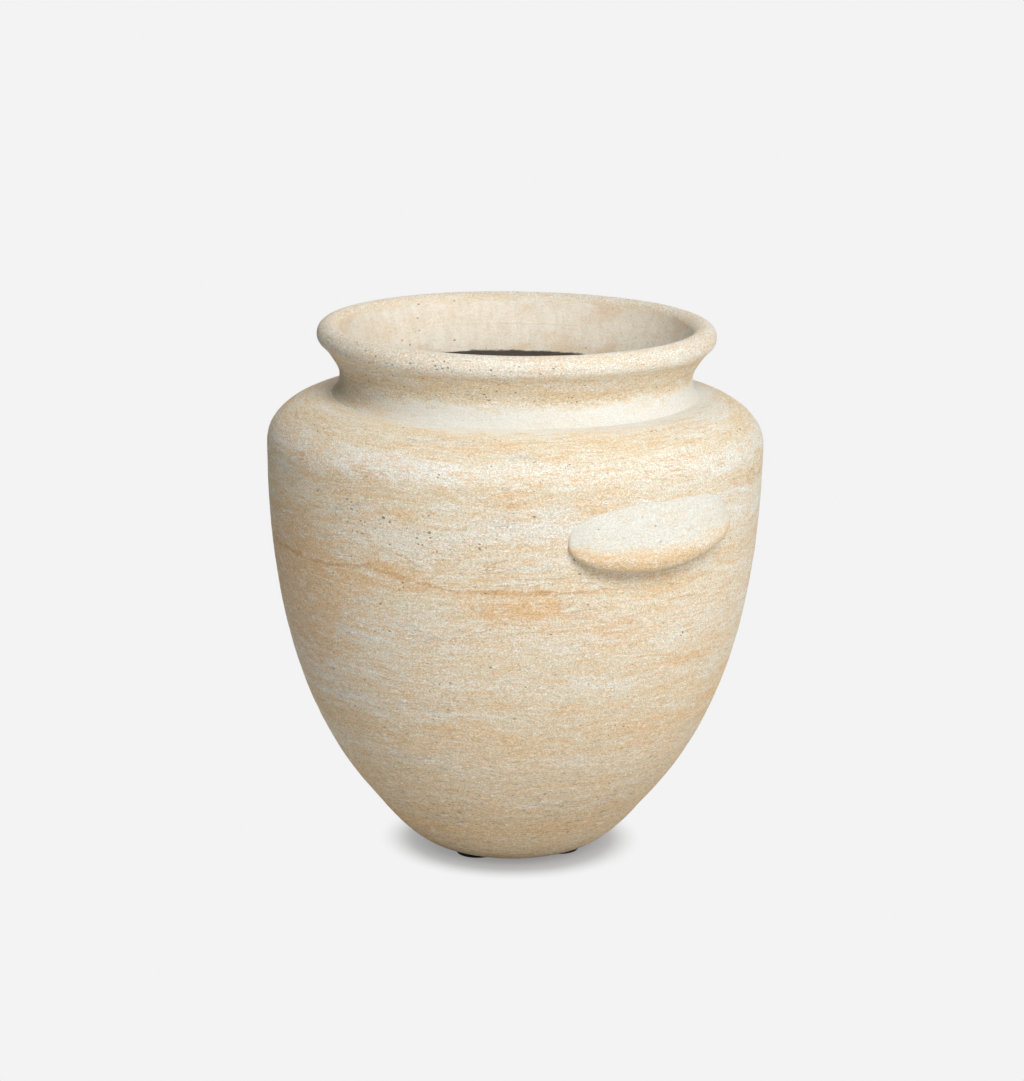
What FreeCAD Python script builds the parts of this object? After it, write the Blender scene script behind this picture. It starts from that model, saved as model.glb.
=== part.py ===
"""A large two-handled storage jar (pithos), built of stacked clay courses, in millimetres.

The jar stands on four rubber pads. Its wall is a base dish, five wall courses, a neck collar and a rolled
rim, luted one on the other along sloping scarf joints. Two tongue-shaped lug handles are luted on the upper
wall, a dark waterproof coating covers the inside below the throat, and a rubber plug closes the drain hole,
seated on the bare clay that the coating leaves round it.

Z is up and the axis of the jar is the Z axis. The floor that it stands on is z = 0. The lugs point along
+X and -X.
"""
import FreeCAD, Part
import math
import os
from FreeCAD import Vector

# Sizes of the whole jar
PAD_THICKNESS = 4.0
WALL = 15.0
BELLY_R = 250.0
BELLY_Z = 418.5

# Base dish
BASE_FLAT_R = 80.0
BASE_EDGE_RUN = 6.0
BASE_TOP_R = 134.3
BASE_TOP_Z = 43.5
FLOOR_THICKNESS = 22.0
FLOOR_FLAT_R = 86.0
RECESS_R = 36.0
RECESS_DEPTH = 3.0

# Shoulder, neck and rim
SHOULDER_TOP_R = 185.0
SHOULDER_TOP_Z = 466.5
NECK_WAIST_R = 177.4
NECK_WAIST_Z = 485.0
NECK_TOP_R = 190.2
NECK_TOP_Z = 511.0
THROAT_R = 162.0
THROAT_Z = 474.0
RIM_CENTRE_R = 188.0
RIM_CENTRE_Z = 526.0
RIM_SECTION_R = 12.2
RIM_START_DEG = -50.0
RIM_END_DEG = 162.0

# How steeply the body wall leaves the base and how long the curve's ends pull on it
WALL_LEAN = math.atan2(33.5, 26.4)
FOOT_PULL = 42.0
WALL_START_PULL = 40.0
WALL_END_PULL = 263.5
SHOULDER_START_PULL = 32.5
SHOULDER_END_PULL = 20.5

# Places along the body curve, from 0 at the base dish to 1 at the belly, where the courses meet
COURSE_NAMES = ["lower_wall_course", "middle_wall_course", "upper_wall_course", "belly_course"]
COURSE_JOINTS = [0.0, 0.45, 0.68, 0.85, 1.0]
SCARF = 0.02

# Inside coating: it ends in the throat and leaves a bare ring round the drain hole as the plug's seat
COATING = 1.5
COATING_TOP = 0.10
SEAT_R = 24.0

# Drain hole and its plug
DRAIN_R = 12.5
PLUG_CLEARANCE = 0.05
PLUG_TIP_Z = 4.0
PLUG_TIP_CHAMFER = 2.0
PLUG_FLANGE_R = 21.0
PLUG_FLANGE_H = 4.0
PLUG_NECK_R = 6.5
PLUG_KNOB_R = 9.5
PLUG_KNOB_H = 18.0

# Rubber pads under the base
PAD_R = 20.5
PAD_CIRCLE_R = 60.0
PAD_EDGE = 0.8
PAD_FIRST_DEG = 22.0
PAD_NAMES = ["foot_pad_right", "foot_pad_back", "foot_pad_left", "foot_pad_front"]

# Lug handles: each is an oval tongue, thin above and with a thick rounded lip below. It is set a little
# askew, and its lip rises towards the right end
LUG_HALF_DEG = 21.5
LUG_MIDDLE_Z = 371.5
LUG_HALF_HEIGHT = 32.5
LUG_TILT = 4.5
LUG_LIP_RISE = 7.0
LUG_REACH = 24.0
LUG_LIP_R = 11.0
LUG_ROOT_DEPTH = 22.0
LUG_TOP_POWER = 2.9
LUG_LOW_POWER = 2.0
LUG_REACH_POWER = 2.5
LUG_SECTIONS = [-0.994, -0.94, -0.80, -0.56, -0.28, 0.0, 0.28, 0.56, 0.80, 0.94, 0.994]

UP = Vector(0, 0, 1)


def point(r, z):
    """A point of the jar's section, above the plane of the base's underside."""
    return Vector(r, 0, z + PAD_THICKNESS)


def toward(start, angle, length):
    """The point at this length from start, with the angle measured from the outward direction."""
    return start + Vector(math.cos(angle), 0, math.sin(angle)) * length


def inward_normal(direction):
    """The unit vector that points from the outside of the wall into it."""
    flat = Vector(-direction.z, 0, direction.x)
    return flat.normalize()


def offset_poles(poles, depth):
    """The poles of the curve that runs at this depth behind a curve of four poles."""
    first, start, end, last = poles
    new_first = first + inward_normal(start - first) * depth
    new_last = last + inward_normal(last - end) * depth
    ratio = (new_last - new_first).Length / (last - first).Length
    return [new_first, new_first + (start - first) * ratio, new_last + (end - last) * ratio, new_last]


def curve(poles, start=0.0, end=1.0):
    """The edge along a curve of four poles, from one share of it to another."""
    bezier = Part.BezierCurve()
    bezier.setPoles(poles)
    bezier.segment(start, end)
    return bezier.toShape()


def line(start, end):
    return Part.LineSegment(start, end).toShape()


def ring(edges):
    """The solid that a closed outline in the section plane sweeps round the axis."""
    wire = Part.Wire(Part.__sortEdges__(edges))
    return Part.Face(wire).revolve(Vector(0, 0, 0), UP, 360)


def along(poles, share):
    """The point at this share of a curve of four poles."""
    bezier = Part.BezierCurve()
    bezier.setPoles(poles)
    return bezier.value(share)


# Outlines of the section, from the base up
def foot_outside():
    top = point(BASE_TOP_R, BASE_TOP_Z)
    start = point(BASE_FLAT_R, 0)
    return [start, start + Vector(BASE_EDGE_RUN, 0, 0), toward(top, WALL_LEAN, -FOOT_PULL), top]


def wall_outside():
    start = point(BASE_TOP_R, BASE_TOP_Z)
    end = point(BELLY_R, BELLY_Z)
    return [start, toward(start, WALL_LEAN, WALL_START_PULL), end - UP * WALL_END_PULL, end]


def shoulder_outside():
    start = point(BELLY_R, BELLY_Z)
    end = point(SHOULDER_TOP_R, SHOULDER_TOP_Z)
    return [start, start + UP * SHOULDER_START_PULL, end + Vector(SHOULDER_END_PULL, 0, 0), end]


def cove_below_waist():
    start = point(SHOULDER_TOP_R, SHOULDER_TOP_Z)
    end = point(NECK_WAIST_R, NECK_WAIST_Z)
    return [start, start + Vector(-5.0, 0, 4.0), end - UP * 8.0, end]


def cove_above_waist():
    start = point(NECK_WAIST_R, NECK_WAIST_Z)
    end = point(NECK_TOP_R, NECK_TOP_Z)
    return [start, start + UP * 9.0, end + Vector(-7.0, 0, -10.5), end]


def foot_inside():
    top = offset_poles(wall_outside(), WALL)[0]
    start = point(FLOOR_FLAT_R, FLOOR_THICKNESS)
    return [start, start + Vector(14.0, 0, 0), toward(top, WALL_LEAN, -15.0), top]


def wall_inside():
    return offset_poles(wall_outside(), WALL)


def shoulder_inside():
    return offset_poles(shoulder_outside(), WALL)


def neck_foot_inside():
    start = shoulder_inside()[3]
    end = point(THROAT_R, THROAT_Z)
    return [start, start + Vector(-13.0, 0, 0), end - UP * 13.0, end]


def rim_point(degrees):
    centre = point(RIM_CENTRE_R, RIM_CENTRE_Z)
    return toward(centre, math.radians(degrees), RIM_SECTION_R)


def funnel_inside():
    start = point(THROAT_R, THROAT_Z)
    end = rim_point(RIM_END_DEG)
    slope = math.radians(RIM_END_DEG - 90.0)
    return [start, start + UP * 18.0, toward(end, slope, -18.0), end]


# Clay pieces
def base_dish():
    """The floor and the foot of the jar, with a shallow recess below and the drain hole."""
    floor_centre = point(0, FLOOR_THICKNESS)
    roof = point(0, RECESS_DEPTH)
    recess_top = point(RECESS_R, RECESS_DEPTH)
    recess_edge = point(RECESS_R, 0)
    outside = foot_outside()
    inside = foot_inside()
    joint_inside = along(wall_inside(), SCARF)
    edges = [
        line(roof, recess_top),
        line(recess_top, recess_edge),
        line(recess_edge, outside[0]),
        curve(outside),
        line(outside[3], joint_inside),
        curve(wall_inside(), 0.0, SCARF),
        curve(inside),
        line(inside[0], floor_centre),
        line(floor_centre, roof),
    ]
    drain = Part.makeCylinder(DRAIN_R, FLOOR_THICKNESS * 2)
    return ring(edges).cut(drain)


def wall_course(start, end):
    """One course of the body wall. Its joints rise from the outside of the wall to the inside."""
    last = 1.0 if end == 1.0 else end + SCARF
    outside = wall_outside()
    inside = wall_inside()
    edges = [
        curve(outside, start, end),
        line(along(outside, end), along(inside, last)),
        curve(inside, start + SCARF, last),
        line(along(inside, start + SCARF), along(outside, start)),
    ]
    return ring(edges)


def shoulder_course():
    outside = shoulder_outside()
    inside = shoulder_inside()
    edges = [
        curve(outside),
        line(outside[3], inside[3]),
        curve(inside),
        line(inside[0], outside[0]),
    ]
    return ring(edges)


def neck_collar():
    """The waisted neck, from the crease on the shoulder to the groove below the rim."""
    crease = point(SHOULDER_TOP_R, SHOULDER_TOP_Z)
    groove = point(NECK_TOP_R, NECK_TOP_Z)
    inside = neck_foot_inside()
    edges = [
        curve(cove_below_waist()),
        curve(cove_above_waist()),
        line(groove, along(funnel_inside(), 0.60)),
        curve(funnel_inside(), 0.0, 0.60),
        curve(inside),
        line(inside[0], crease),
    ]
    return ring(edges)


def rim_coil():
    """The rolled rim and the upper end of the funnel inside it."""
    groove = point(NECK_TOP_R, NECK_TOP_Z)
    start = rim_point(RIM_START_DEG)
    end = rim_point(RIM_END_DEG)
    middle = rim_point((RIM_START_DEG + RIM_END_DEG) / 2)
    edges = [
        line(groove, start),
        Part.Arc(start, middle, end).toShape(),
        curve(funnel_inside(), 0.60, 1.0),
        line(along(funnel_inside(), 0.60), groove),
    ]
    return ring(edges)


def outer_body():
    """Everything inside the outer face of the wall, as one solid to cut the lugs with."""
    top = shoulder_outside()[3]
    base = foot_outside()[0]
    edges = [
        line(point(0, 0), base),
        curve(foot_outside()),
        curve(wall_outside()),
        curve(shoulder_outside()),
        line(top, Vector(0, 0, top.z)),
        line(Vector(0, 0, top.z), point(0, 0)),
    ]
    return ring(edges)


def wall_radius(z):
    """Outer radius of the body wall at this height above the base, found by halving."""
    low, high = 0.0, 1.0
    outside = wall_outside()
    while high - low > 1e-4:
        share = (low + high) / 2
        if along(outside, share).z < z + PAD_THICKNESS:
            low = share
        else:
            high = share
    return along(outside, low).x


def oval(share, power):
    """How wide an oval still is at a share of its half length. A higher power makes its ends blunter."""
    return (1 - abs(share) ** power) ** (1 / power)


def lug_section(share):
    """The section of a lug at a share of its half length: a sloping top, a round lip and a flat underside."""
    low = oval(share, LUG_LOW_POWER)
    middle_z = LUG_MIDDLE_Z + LUG_TILT * share
    top_z = middle_z + LUG_HALF_HEIGHT * oval(share, LUG_TOP_POWER)
    lip_r = LUG_LIP_R * low
    lip_z = middle_z - LUG_HALF_HEIGHT * low + lip_r + LUG_LIP_RISE * max(0.0, share) * low ** 0.5
    top = point(wall_radius(top_z) - 1.0, top_z)
    lip = point(wall_radius(lip_z) + LUG_REACH * oval(share, LUG_REACH_POWER) - lip_r, lip_z)
    root = wall_radius(LUG_MIDDLE_Z) - LUG_ROOT_DEPTH
    # The top slope touches the lip's circle: the angle of the radius to the touching point
    gap = top - lip
    touch = math.atan2(gap.z, gap.x) - math.acos(lip_r / gap.Length)
    edges = [
        line(Vector(root, 0, top.z), top),
        line(top, toward(lip, touch, lip_r)),
        Part.Arc(toward(lip, touch, lip_r), toward(lip, -0.4, lip_r), toward(lip, -math.pi / 2, lip_r)).toShape(),
        line(toward(lip, -math.pi / 2, lip_r), Vector(root, 0, lip.z - lip_r)),
        line(Vector(root, 0, lip.z - lip_r), Vector(root, 0, top.z)),
    ]
    wire = Part.Wire(edges)
    wire.rotate(Vector(0, 0, 0), UP, LUG_HALF_DEG * share)
    return wire


def lug_handle(body):
    sections = [lug_section(share) for share in LUG_SECTIONS]
    tongue = Part.makeLoft(sections, True, False)
    return tongue.cut(body)


# Coating, plug and pads
def inside_coating():
    """A thin dark coat over the floor and the wall, up to the throat, but not over the plug's seat."""
    covered = [foot_inside(), wall_inside(), shoulder_inside(), neck_foot_inside()]
    faces = [offset_poles(poles, COATING) for poles in covered]
    funnel = funnel_inside()
    top = along(funnel, COATING_TOP)
    seat_edge = point(SEAT_R, FLOOR_THICKNESS)
    seat_top = point(SEAT_R, FLOOR_THICKNESS + COATING)
    edges = [line(seat_edge, covered[0][0])]
    edges += [curve(poles) for poles in covered]
    edges += [curve(funnel, 0.0, COATING_TOP)]
    edges += [line(top, faces[3][3])]
    edges += [curve(poles) for poles in faces]
    edges += [line(faces[0][0], seat_top), line(seat_top, seat_edge)]
    return ring(edges)


def drain_plug():
    """A rubber stopper: a shank in the drain hole, a flange on the clay floor and a knob to pull it by."""
    seat = FLOOR_THICKNESS
    shank_r = DRAIN_R - PLUG_CLEARANCE
    flange_top = seat + PLUG_FLANGE_H
    knob_top = seat + PLUG_KNOB_H
    knob_middle = knob_top - PLUG_KNOB_R / 2
    edges = [
        line(point(0, PLUG_TIP_Z), point(shank_r - PLUG_TIP_CHAMFER, PLUG_TIP_Z)),
        line(point(shank_r - PLUG_TIP_CHAMFER, PLUG_TIP_Z), point(shank_r, PLUG_TIP_Z + PLUG_TIP_CHAMFER)),
        line(point(shank_r, PLUG_TIP_Z + PLUG_TIP_CHAMFER), point(shank_r, seat)),
        line(point(shank_r, seat), point(PLUG_FLANGE_R, seat)),
        Part.Arc(
            point(PLUG_FLANGE_R, seat),
            point(PLUG_FLANGE_R + PLUG_FLANGE_H * 0.4, seat + PLUG_FLANGE_H / 2),
            point(PLUG_FLANGE_R, flange_top),
        ).toShape(),
        line(point(PLUG_FLANGE_R, flange_top), point(PLUG_NECK_R + 2.0, flange_top)),
        line(point(PLUG_NECK_R + 2.0, flange_top), point(PLUG_NECK_R, flange_top + 3.0)),
        line(point(PLUG_NECK_R, flange_top + 3.0), point(PLUG_NECK_R, knob_middle - PLUG_KNOB_R / 2)),
        Part.Arc(
            point(PLUG_NECK_R, knob_middle - PLUG_KNOB_R / 2),
            point(PLUG_KNOB_R, knob_middle),
            point(PLUG_NECK_R, knob_top),
        ).toShape(),
        line(point(PLUG_NECK_R, knob_top), point(0, knob_top)),
        line(point(0, knob_top), point(0, PLUG_TIP_Z)),
    ]
    return ring(edges)


def foot_pad(degrees):
    pad = Part.makeCylinder(PAD_R, PAD_THICKNESS)
    pad = pad.makeFillet(PAD_EDGE, [edge for edge in pad.Edges if isinstance(edge.Curve, Part.Circle)][:1])
    angle = math.radians(degrees)
    pad.translate(Vector(PAD_CIRCLE_R * math.cos(angle), PAD_CIRCLE_R * math.sin(angle), 0))
    return pad


def save(name, shape):
    solids = shape.Solids
    shape = solids[0] if len(solids) == 1 else Part.makeCompound(solids)
    print(name, "solids", len(solids), "valid", shape.isValid(), "cm3", round(shape.Volume / 1000, 1))
    shape.exportStep(os.path.join("parts", name + ".step"))


def main():
    os.makedirs("parts", exist_ok=True)
    save("base_dish", base_dish())
    for name, start, end in zip(COURSE_NAMES, COURSE_JOINTS, COURSE_JOINTS[1:]):
        save(name, wall_course(start, end))
    save("shoulder_course", shoulder_course())
    save("neck_collar", neck_collar())
    save("rim_coil", rim_coil())
    lug = lug_handle(outer_body())
    save("lug_handle_right", lug)
    left = lug.copy()
    left.rotate(Vector(0, 0, 0), UP, 180)
    save("lug_handle_left", left)
    save("inside_coating", inside_coating())
    save("drain_plug", drain_plug())
    for index, name in enumerate(PAD_NAMES):
        save(name, foot_pad(PAD_FIRST_DEG + 90 * index))


main()
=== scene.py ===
"""A large travertine-look pithos with two lug handles, on a pale floor in soft studio light.

Every clay piece of the jar is a closed ring or tongue whose outline follows the same few curves, given a
handmade unevenness, ridges and pores. The coating inside, the drain plug and the pads are turned shapes.
Outlines are in millimetres, in the plane of radius and height above the underside of the base. Everything
else is in metres unless a name or comment says otherwise. Z is up and the jar's axis is the Z axis.
"""
import math

import bpy
import numpy as np
from mathutils import Matrix, Vector


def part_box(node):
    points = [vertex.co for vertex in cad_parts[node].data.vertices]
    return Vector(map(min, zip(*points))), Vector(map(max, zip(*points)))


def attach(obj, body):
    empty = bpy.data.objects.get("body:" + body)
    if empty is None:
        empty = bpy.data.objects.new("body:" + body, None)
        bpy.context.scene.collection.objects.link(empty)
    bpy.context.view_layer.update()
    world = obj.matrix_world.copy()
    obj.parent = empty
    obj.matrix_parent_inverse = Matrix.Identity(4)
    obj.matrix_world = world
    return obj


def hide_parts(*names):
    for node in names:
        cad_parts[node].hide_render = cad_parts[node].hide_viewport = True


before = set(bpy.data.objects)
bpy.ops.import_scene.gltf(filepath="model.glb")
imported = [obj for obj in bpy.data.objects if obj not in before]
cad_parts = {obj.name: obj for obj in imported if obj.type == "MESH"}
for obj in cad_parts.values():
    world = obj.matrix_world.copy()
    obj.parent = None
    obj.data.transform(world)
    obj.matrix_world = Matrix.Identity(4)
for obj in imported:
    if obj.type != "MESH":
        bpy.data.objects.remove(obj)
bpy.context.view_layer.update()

MM = 0.001

# The jar's section in millimetres above the underside of its base, as it is built
PAD_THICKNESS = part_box("foot_pad_front")[1].z / MM
WALL = 15.0
BELLY = (250.0, 418.5)
BASE_FLAT_R = 80.0
BASE_TOP = (134.3, 43.5)
FLOOR_Z = 22.0
FLOOR_FLAT_R = 86.0
RECESS = (36.0, 3.0)
DRAIN_R = 12.5
COATING = 1.5
COATING_TOP = 0.10
SEAT_R = 24.0
CREASE = (185.0, 466.5)
WAIST = (177.4, 485.0)
GROOVE = (190.2, 511.0)
THROAT = (162.0, 474.0)
RIM_CENTRE = (188.0, 526.0)
RIM_R = 12.2
RIM_DEG = (-50.0, 162.0)
WALL_LEAN = math.atan2(33.5, 26.4)
COURSE_NAMES = ["lower_wall_course", "middle_wall_course", "upper_wall_course", "belly_course"]
COURSE_JOINTS = [0.0, 0.45, 0.68, 0.85, 1.0]
SCARF = 0.02
FUNNEL_JOINT = 0.60
PLUG_SHANK_R = 12.45
PAD_R = 20.5
PAD_CIRCLE_R = 60.0
PAD_FIRST_DEG = 22.0
PAD_NAMES = ["foot_pad_right", "foot_pad_back", "foot_pad_left", "foot_pad_front"]

# The lug handles, in millimetres and degrees
LUG_HALF_DEG = 21.5
LUG_MIDDLE_Z = 371.5
LUG_HALF_HEIGHT = 32.5
LUG_TILT = 4.5
LUG_LIP_RISE = 7.0
LUG_REACH = 24.0
LUG_LIP_R = 11.0
LUG_TOP_POWER = 2.9
LUG_LOW_POWER = 2.0
LUG_REACH_POWER = 2.5

# Mesh fineness: columns round a ring, strips of its map, and millimetres between points along its lines
COLUMNS = 1120
STRIPS = 4
STEP = 1.42
RIM_STEP = 1.1
COARSE = 12.0
DRAIN_STEP = 5.0
COATING_COLUMNS = 560
COATING_STEP = 2.6
COATING_EDGE_STEP = 0.7

# Relief of the clay: heights of its unevenness, and its open pores
SWELL = 0.0005
SINK = 0.0004
STRATA = 0.00020
RIDGES = 0.00012
PORE_CELL = 0.010
PORE_R = 0.0016
PORE_DEPTH = 0.0009
PORE_SHARE = 0.40

# Relief of the brushed coating
LUMPS = 0.0005
BRUSH_MARKS = 0.00018
GRIT = 0.00012
COATING_EDGE_WAVE = 0.0022

# The camera, fitted to the photograph's outline of the jar
CAMERA_AZIMUTH = math.radians(56.8)
CAMERA_DISTANCE = 3.200
CAMERA_HEIGHT = 1.092
CAMERA_LENS = 107.9
CAMERA_PITCH = math.radians(13.69)
CAMERA_ROLL = math.radians(0.7)
CAMERA_TURN = math.radians(0.037)

# The pale colour behind the jar
BACKDROP = (0.896, 0.896, 0.896, 1)

# Large odd numbers that scatter whole numbers
SCATTER_X = 73856093
SCATTER_Y = 19349663
SCATTER_Z = 83492791
SCATTER_SEED = 2654435761
SCATTER_AGAIN = 1274126177
SCATTER_LAST = 2246822519


# Noise for shapes
def lattice(cells, seed):
    """A repeatable random number from -1 to 1 for each whole-number place."""
    whole = cells.astype(np.int64)
    mixed = whole[..., 0] * SCATTER_X ^ whole[..., 1] * SCATTER_Y ^ whole[..., 2] * SCATTER_Z
    mixed = mixed ^ seed * SCATTER_SEED
    mixed = (mixed ^ (mixed >> 13)) * SCATTER_AGAIN & 0xFFFFFFFF
    mixed = (mixed ^ (mixed >> 16)) * SCATTER_LAST & 0xFFFFFFFF
    return (mixed & 0xFFFFFF) / 0x7FFFFF - 1.0


def noise(places, frequency, seed):
    """Smooth noise from -1 to 1. The frequency, per metre, is one number or one for each axis."""
    scaled = places * frequency
    low = np.floor(scaled)
    part = scaled - low
    part = part * part * (3 - 2 * part)
    total = np.zeros(len(places))
    for corner in range(8):
        offset = np.array([corner & 1, corner >> 1 & 1, corner >> 2 & 1])
        weight = np.where(offset, part, 1 - part).prod(axis=1)
        total += weight * lattice(low + offset, seed)
    return total


def pits(places, cell, radius, depth, share, seed):
    """How deep round pores cut in at each place. One may lie in each cell, moved and sized at random."""
    scaled = places / cell
    low = np.floor(scaled)
    deepest = np.zeros(len(places))
    for corner in np.ndindex(3, 3, 3):
        home = low + np.array(corner) - 1
        centre = home + 0.5 + 0.35 * np.stack([lattice(home, seed + axis) for axis in range(3)], axis=1)
        size = 0.65 + 0.35 * lattice(home, seed + 3)
        kept = lattice(home, seed + 4) * 0.5 + 0.5 < share
        near = np.linalg.norm((scaled - centre) * cell * [0.75, 0.75, 1.25], axis=1) / (radius * size)
        deepest = np.maximum(deepest, kept * size * np.clip(1 - near ** 2, 0, 1))
    return depth * deepest


def clay_relief(places):
    """How far the handmade surface stands out, and how much of it is an open pore."""
    swell = SWELL * noise(places, (6, 6, 8), 1) - SINK
    strata = STRATA * noise(places, (16, 16, 60), 2)
    ridges = RIDGES * noise(places, (70, 70, 210), 3)
    crowd = np.clip(noise(places, (14, 14, 30), 4) * 0.9 + 0.35, 0.04, 1)
    pores = pits(places, PORE_CELL, PORE_R, PORE_DEPTH, crowd * PORE_SHARE, 5)
    return swell + strata + ridges - pores, np.clip(pores / 0.0007, 0, 1)


def coating_relief(places):
    """How far the brushed coating stands out: lumps, brush marks and grit. It has no pores."""
    turn = np.arctan2(places[:, 1], places[:, 0])
    brushed = np.c_[np.cos(turn), np.sin(turn), places[:, 2]]
    lumps = LUMPS * noise(places, (30, 30, 30), 11)
    marks = BRUSH_MARKS * noise(brushed, (9, 9, 420), 12)
    grit = GRIT * noise(places, (300, 300, 300), 13)
    return lumps + marks + grit, np.zeros(len(places))


# Outlines of the section
def bezier(poles, start=0.0, end=1.0):
    """Points close together along a curve of four poles, from one share of it to another."""
    t = np.linspace(start, end, 400)[:, None]
    a, b, c, d = np.asarray(poles, float)
    return a * (1 - t) ** 3 + 3 * b * t * (1 - t) ** 2 + 3 * c * t * t * (1 - t) + d * t ** 3


def along(poles, share):
    """The point at a share of the way along a curve of four poles."""
    return bezier(poles, share, share)[0]


def lean(point, length):
    """The point at this length from another, along the slope with which the wall leaves the base."""
    return point[0] + length * math.cos(WALL_LEAN), point[1] + length * math.sin(WALL_LEAN)


def offset_poles(poles, depth):
    """The poles of the curve that runs at this depth behind a curve of four poles."""
    a, b, c, d = np.asarray(poles, float)
    first = (b - a) / np.linalg.norm(b - a)
    last = (d - c) / np.linalg.norm(d - c)
    new_a = a + depth * np.array([-first[1], first[0]])
    new_d = d + depth * np.array([-last[1], last[0]])
    ratio = np.linalg.norm(new_d - new_a) / np.linalg.norm(d - a)
    return [new_a, new_a + (b - a) * ratio, new_d + (c - d) * ratio, new_d]


FOOT = [(BASE_FLAT_R, 0), (BASE_FLAT_R + 6, 0), lean(BASE_TOP, -42), BASE_TOP]
BODY = [BASE_TOP, lean(BASE_TOP, 40), (BELLY[0], BELLY[1] - 263.5), BELLY]
SHOULDER = [BELLY, (BELLY[0], BELLY[1] + 32.5), (CREASE[0] + 20.5, CREASE[1]), CREASE]
LOWER_COVE = [CREASE, (CREASE[0] - 5, CREASE[1] + 4), (WAIST[0], WAIST[1] - 8), WAIST]
UPPER_COVE = [WAIST, (WAIST[0], WAIST[1] + 9), (GROOVE[0] - 7, GROOVE[1] - 10.5), GROOVE]
BODY_INSIDE = offset_poles(BODY, WALL)
SHOULDER_INSIDE = offset_poles(SHOULDER, WALL)
FOOT_INSIDE = [
    (FLOOR_FLAT_R, FLOOR_Z),
    (FLOOR_FLAT_R + 14, FLOOR_Z),
    lean(BODY_INSIDE[0], -15),
    BODY_INSIDE[0],
]
NECK_INSIDE = [
    SHOULDER_INSIDE[3],
    (SHOULDER_INSIDE[3][0] - 13, SHOULDER_INSIDE[3][1]),
    (THROAT[0], THROAT[1] - 13),
    THROAT,
]
RIM_ANGLES = np.radians(np.linspace(*RIM_DEG, 200))
RIM_ARC = RIM_CENTRE + RIM_R * np.c_[np.cos(RIM_ANGLES), np.sin(RIM_ANGLES)]
RIM_SLOPE = math.radians(RIM_DEG[1] - 90)
FUNNEL = [
    THROAT,
    (THROAT[0], THROAT[1] + 18),
    RIM_ARC[-1] - 18 * np.array([math.cos(RIM_SLOPE), math.sin(RIM_SLOPE)]),
    RIM_ARC[-1],
]


def spaced(points, step):
    """The same line with its points evenly spaced, about one step apart."""
    points = np.asarray(points, float)
    lengths = np.r_[0, np.cumsum(np.linalg.norm(np.diff(points, axis=0), axis=1))]
    even = np.linspace(0, lengths[-1], max(2, round(lengths[-1] / step) + 1))
    return np.c_[np.interp(even, lengths, points[:, 0]), np.interp(even, lengths, points[:, 1])]


def whole_outline():
    """The jar's outline in one line: from its foot up the outside, over the rim and down the inside."""
    up = [bezier(poles) for poles in [FOOT, BODY, SHOULDER, LOWER_COVE, UPPER_COVE]]
    inside = [FUNNEL, NECK_INSIDE, SHOULDER_INSIDE, BODY_INSIDE, FOOT_INSIDE]
    down = [bezier(poles)[::-1] for poles in inside]
    return spaced(np.concatenate([*up, RIM_ARC, *down, [(SEAT_R, FLOOR_Z)]]), 0.5)


OUTLINE = whole_outline()
OUTLINE_TOP = OUTLINE[:, 1].argmax()
OUTLINE_TANGENT = np.gradient(OUTLINE, axis=0)
OUTLINE_TANGENT /= np.linalg.norm(OUTLINE_TANGENT, axis=1)[:, None]
OUTLINE_NORMAL = np.c_[OUTLINE_TANGENT[:, 1], -OUTLINE_TANGENT[:, 0]]
OUTLINE_LENGTH = np.arange(len(OUTLINE)) * np.linalg.norm(OUTLINE[1] - OUTLINE[0])


def length_at(height):
    """How far along the outline, in metres, the outside of the jar reaches this height in millimetres."""
    return float(np.interp(height, OUTLINE[:OUTLINE_TOP, 1], OUTLINE_LENGTH[:OUTLINE_TOP])) * MM


def nearest_on_outline(points):
    """For each point of a section, its place in the whole outline. The underside belongs to the outside."""
    gaps = ((points[:, None, :] - OUTLINE[None, :, :]) ** 2).sum(axis=2)
    gaps[points[:, 1] < FLOOR_Z / 2, OUTLINE_TOP:] = np.inf
    return gaps.argmin(axis=1)


# Meshes
def new_piece(name, points, corners, sizes, map_places, attributes, material, node, body="jar"):
    """Makes a smooth mesh with a map for each face corner and numbers or vectors for each point."""
    mesh = bpy.data.meshes.new(name)
    mesh.vertices.add(len(points))
    mesh.vertices.foreach_set("co", points.astype(np.float32).ravel())
    mesh.loops.add(len(corners))
    mesh.loops.foreach_set("vertex_index", corners.astype(np.int32))
    mesh.polygons.add(len(sizes))
    mesh.polygons.foreach_set("loop_start", np.r_[0, np.cumsum(sizes)[:-1]].astype(np.int32))
    mesh.polygons.foreach_set("use_smooth", np.ones(len(sizes), bool))
    for key, values in attributes.items():
        kind = "FLOAT_VECTOR" if values.ndim == 2 else "FLOAT"
        layer = mesh.attributes.new(key, kind, "POINT")
        layer.data.foreach_set("vector" if values.ndim == 2 else "value", values.astype(np.float32).ravel())
    layer = mesh.uv_layers.new(name="OFBake")
    layer.data.foreach_set("uv", map_places.astype(np.float32).ravel())
    mesh.update(calc_edges=True)
    mesh.set_sharp_from_angle(angle=math.radians(50))
    mesh.materials.append(material)
    made = bpy.data.objects.new(name, mesh)
    bpy.context.scene.collection.objects.link(made)
    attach(made, body)
    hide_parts(node)
    return made


def ring_section(parts):
    """The points round a ring's section, how much relief each has, and how far along its map each lies."""
    outline, share = [], []
    for points, step, weight in parts:
        line = spaced(points, step)[1 if outline else 0:]
        outline.append(line)
        share.append(np.full(len(line), float(weight)))
    outline = np.concatenate(outline)
    share = np.concatenate(share)
    gaps = np.linalg.norm(np.diff(outline, axis=0), axis=1) * np.where(share[1:] > 0, 1, 0.12)
    spread = np.r_[0, np.cumsum(gaps)] / gaps.sum()
    return outline, share, spread


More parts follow.
